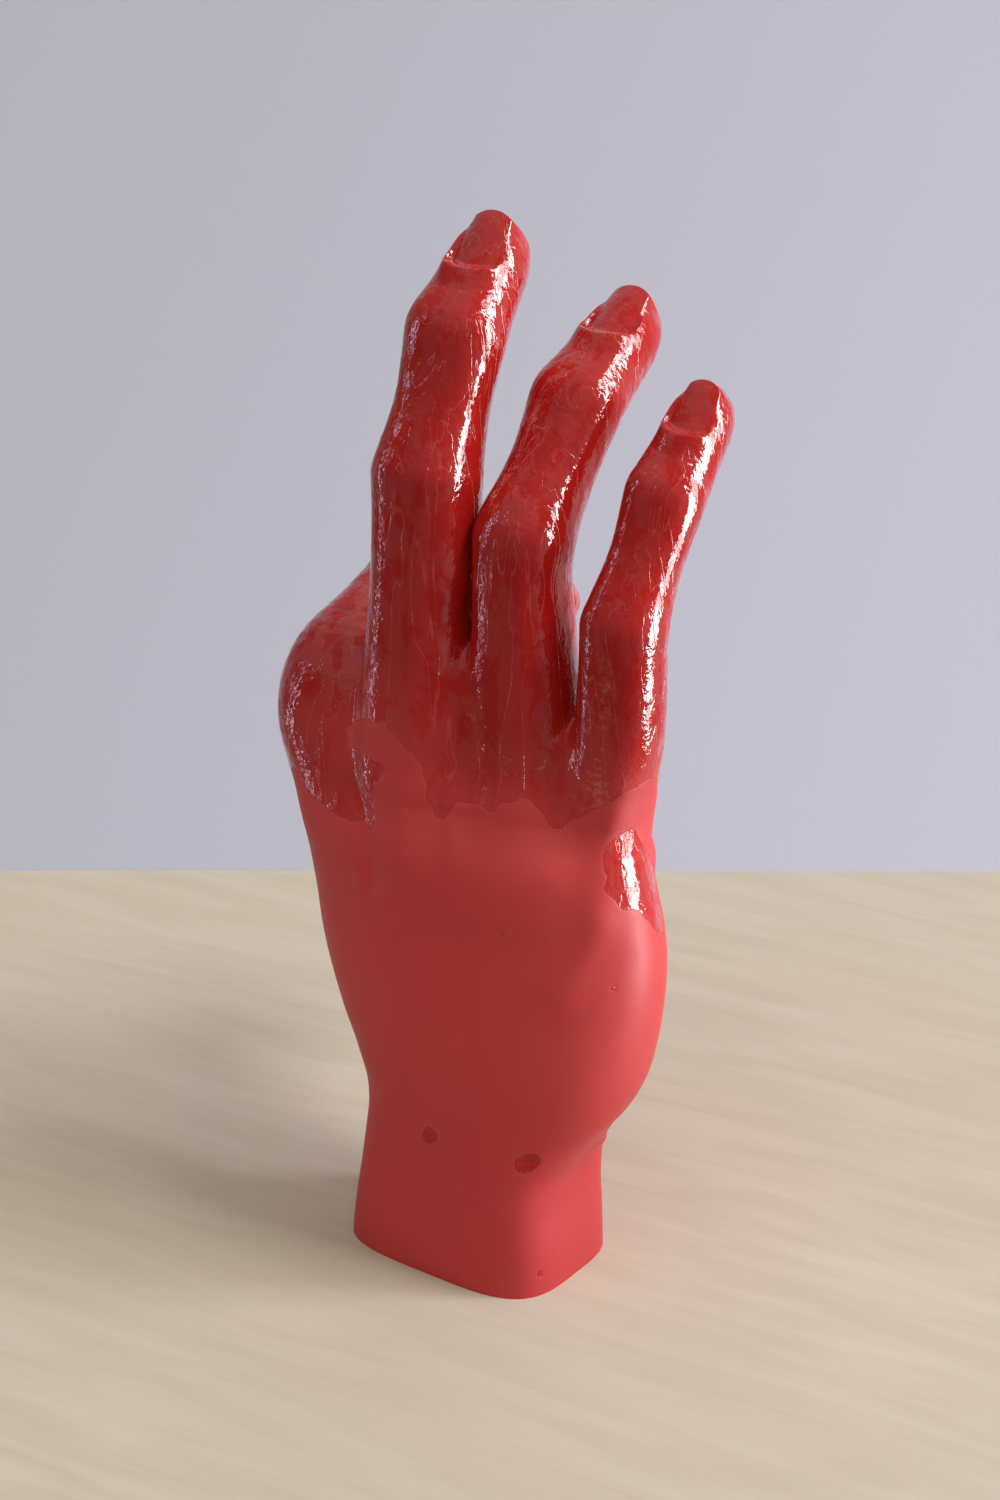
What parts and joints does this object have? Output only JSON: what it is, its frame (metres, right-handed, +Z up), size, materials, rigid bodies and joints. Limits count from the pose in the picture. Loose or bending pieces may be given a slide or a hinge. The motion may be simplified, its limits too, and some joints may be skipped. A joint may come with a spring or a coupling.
{
  "type": "hand figurine",
  "caption": "Life-size cast right hand standing on its cut wrist, the tips of index finger and thumb closed in a ring and the other fingers raised, for display on a shelf or desk.",
  "frame": {"origin": "centre of the base plug's underside, in the plane the hand stands on", "axes": "+Z up along the hand, +X towards the little finger, -Y the way the back of the hand faces"},
  "size_m": [0.0867, 0.1023, 0.2056],
  "materials": {
    "satin_resin": "satin",
    "gloss_resin": "gloss lacquer",
    "dowel_steel": "drawn",
    "ballast_iron": "as cast",
    "plug_resin": "sanded"
  },
  "bodies": {
    "root": {"palm_casting": "satin_resin", "index_finger": "gloss_resin", "middle_finger": "gloss_resin", "ring_finger": "gloss_resin", "little_finger": "gloss_resin", "thumb": "gloss_resin", "index_dowel": "dowel_steel", "middle_dowel": "dowel_steel", "ring_dowel": "dowel_steel", "little_dowel": "dowel_steel", "thumb_dowel": "dowel_steel", "ballast_slug": "ballast_iron", "base_plug": "plug_resin"}
  },
  "joints": []
}
